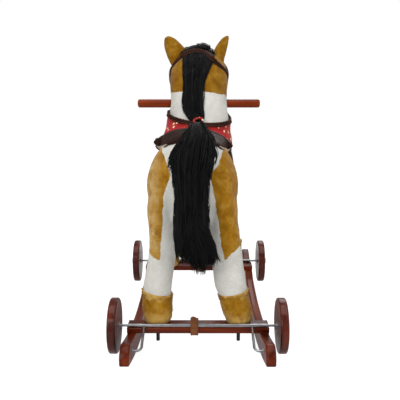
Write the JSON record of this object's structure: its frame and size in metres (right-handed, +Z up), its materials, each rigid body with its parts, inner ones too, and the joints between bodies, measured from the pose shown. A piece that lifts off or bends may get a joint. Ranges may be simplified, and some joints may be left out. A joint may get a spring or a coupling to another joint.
{
  "type": "rocking horse with fold-down wheels",
  "caption": "Plush ride-on horse with saddle, bandana and handle bar on wooden rockers, with wheel frames that swing under the rockers to turn it into a rolling toy.",
  "frame": {"origin": "on the floor, midway between the rockers and midway along them", "axes": "+Y the way the horse faces, +Z up, +X to its right hand side"},
  "size_m": [0.3956, 0.71, 0.7238],
  "materials": {
    "stained_wood": "mahogany stain under gloss lacquer",
    "core_wood": "plain sawn",
    "steel": "plated",
    "brass_stud": "pressed",
    "tan_leather": "smooth, cut edges",
    "plush": "short pile, tan and white",
    "hair": "long black pile",
    "eye_plastic": "domed",
    "bandana_cloth": "printed cotton",
    "stirrup_plastic": "moulded",
    "brown_leather": "smooth, stitched"
  },
  "bodies": {
    "horse": {"rocker_left": "stained_wood", "rocker_right": "stained_wood", "rear_plank": "stained_wood", "front_plank": "stained_wood", "plank_screws": "steel", "pivot_bushes": "steel", "rear_strap": "tan_leather", "front_strap": "tan_leather", "strap_studs": "brass_stud", "leg_bolts": "steel", "leg_nuts": "steel", "leg_post_rear_left": "core_wood", "leg_post_rear_right": "core_wood", "leg_post_front_left": "core_wood", "leg_post_front_right": "core_wood", "body_beam": "core_wood", "neck_post": "core_wood", "handle_bar": "stained_wood", "body_plush": "plush", "neck_plush": "plush", "head_plush": "plush", "leg_rear_left": "plush", "leg_rear_right": "plush", "leg_front_left": "plush", "leg_front_right": "plush", "hoof_rear_left": "plush", "hoof_rear_right": "plush", "hoof_front_left": "plush", "hoof_front_right": "plush", "ear_left": "plush", "ear_right": "plush", "eyes": "eye_plastic", "mane": "hair", "forelock": "hair", "tail": "hair", "saddle_skirt": "brown_leather", "saddle_seat": "brown_leather", "saddle_cantle": "brown_leather", "girth": "brown_leather", "bridle": "brown_leather", "bit_rings": "steel", "reins": "brown_leather", "bandana": "bandana_cloth", "bandana_knot": "bandana_cloth", "stirrup_rivets": "steel"},
    "rear_frame": {"rear_wheel_frame": "steel", "rear_axle_washers": "steel", "rear_axle_caps": "steel"},
    "front_frame": {"front_wheel_frame": "steel", "front_axle_washers": "steel", "front_axle_caps": "steel"},
    "rear_left_wheel": {"wheel_rear_left": "stained_wood"},
    "rear_right_wheel": {"wheel_rear_right": "stained_wood"},
    "front_left_wheel": {"wheel_front_left": "stained_wood"},
    "front_right_wheel": {"wheel_front_right": "stained_wood"},
    "left_stirrup": {"stirrup_leather_left": "brown_leather", "stirrup_left": "stirrup_plastic"},
    "right_stirrup": {"stirrup_leather_right": "brown_leather", "stirrup_right": "stirrup_plastic"}
  },
  "joints": [
    {"name": "rear_fold", "type": "hinge", "parent": "horse", "child": "rear_frame", "pos_m": [0, -0.3, 0.05832], "axis": [1, 0, 0], "range_deg": [0, 308], "deforming": ["rear_strap"]},
    {"name": "front_fold", "type": "hinge", "parent": "horse", "child": "front_frame", "pos_m": [0, 0.3, 0.05832], "axis": [-1, 0, 0], "range_deg": [0, 308], "deforming": ["front_strap"]},
    {"name": "rear_left_spin", "type": "hinge", "parent": "rear_frame", "child": "rear_left_wheel", "pos_m": [-0.1815, -0.228, 0.08254], "axis": [1, 0, 0], "continuous": true},
    {"name": "rear_right_spin", "type": "hinge", "parent": "rear_frame", "child": "rear_right_wheel", "pos_m": [0.1815, -0.228, 0.08254], "axis": [1, 0, 0], "continuous": true},
    {"name": "front_left_spin", "type": "hinge", "parent": "front_frame", "child": "front_left_wheel", "pos_m": [-0.1815, 0.228, 0.08254], "axis": [1, 0, 0], "continuous": true},
    {"name": "front_right_spin", "type": "hinge", "parent": "front_frame", "child": "front_right_wheel", "pos_m": [0.1815, 0.228, 0.08254], "axis": [1, 0, 0], "continuous": true},
    {"name": "left_stirrup_swing", "type": "hinge", "parent": "horse", "child": "left_stirrup", "pos_m": [-0.0895, 0.0043, 0.38444], "axis": [1, 0, 0], "range_deg": [-28, 26]},
    {"name": "right_stirrup_swing", "type": "hinge", "parent": "horse", "child": "right_stirrup", "pos_m": [0.0895, 0.0043, 0.38444], "axis": [1, 0, 0], "range_deg": [-28, 26]}
  ]
}
